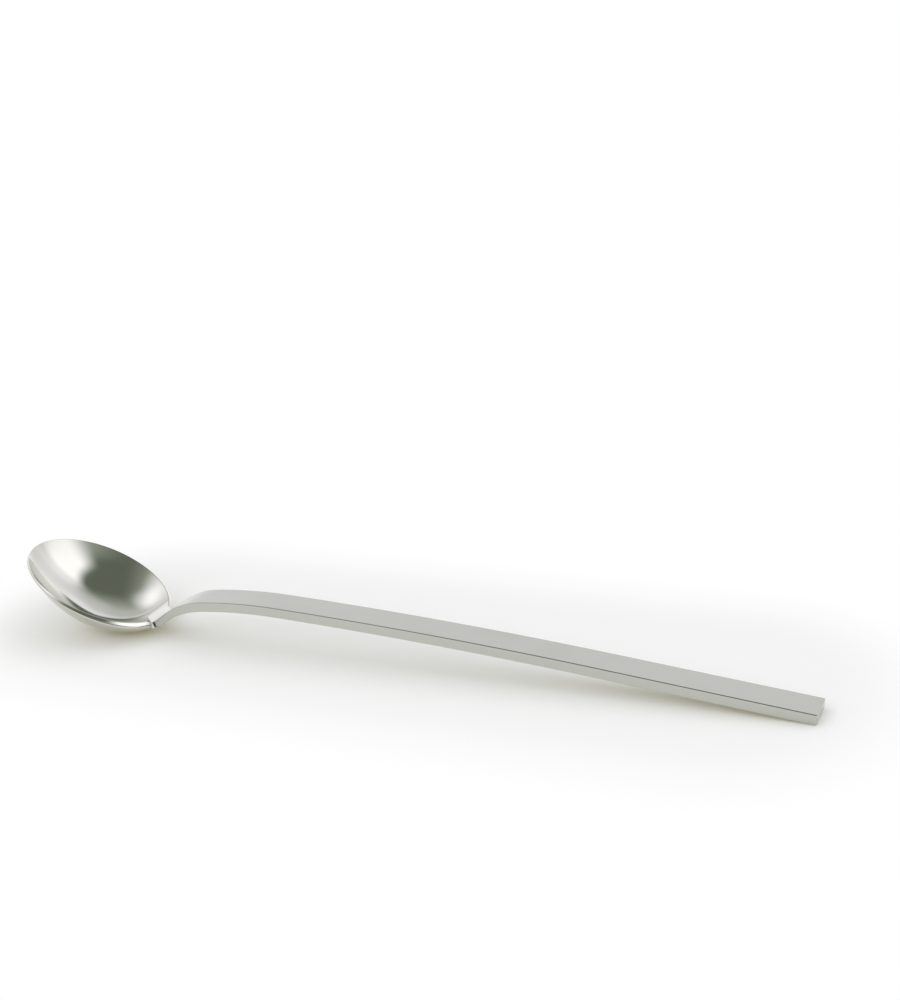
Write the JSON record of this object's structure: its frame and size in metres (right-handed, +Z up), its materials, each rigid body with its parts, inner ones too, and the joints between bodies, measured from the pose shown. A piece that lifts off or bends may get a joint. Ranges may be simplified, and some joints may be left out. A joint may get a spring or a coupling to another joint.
{
  "type": "serving spoon",
  "caption": "Long-handled serving spoon: flat square-edged bar handle, cranked down at its neck and soldered to a low seat on the rim of a deep oval bowl of heavy polished metal whose wall thins towards the tip.",
  "frame": {"origin": "on the table under the middle of the bounding box, with the spoon lying as it rests on its bowl and the end of its handle", "axes": "+X along the spoon towards the handle's free end, +Y across it, +Z up"},
  "size_m": [0.273, 0.0436, 0.0274],
  "materials": {
    "bowl_metal": "polished bright with a very fine grain",
    "handle_metal": "fine satin along the bar with polished edges",
    "solder_metal": "filed and polished with the joint"
  },
  "bodies": {
    "root": {"bowl": "bowl_metal", "handle": "handle_metal", "solder": "solder_metal"}
  },
  "joints": []
}
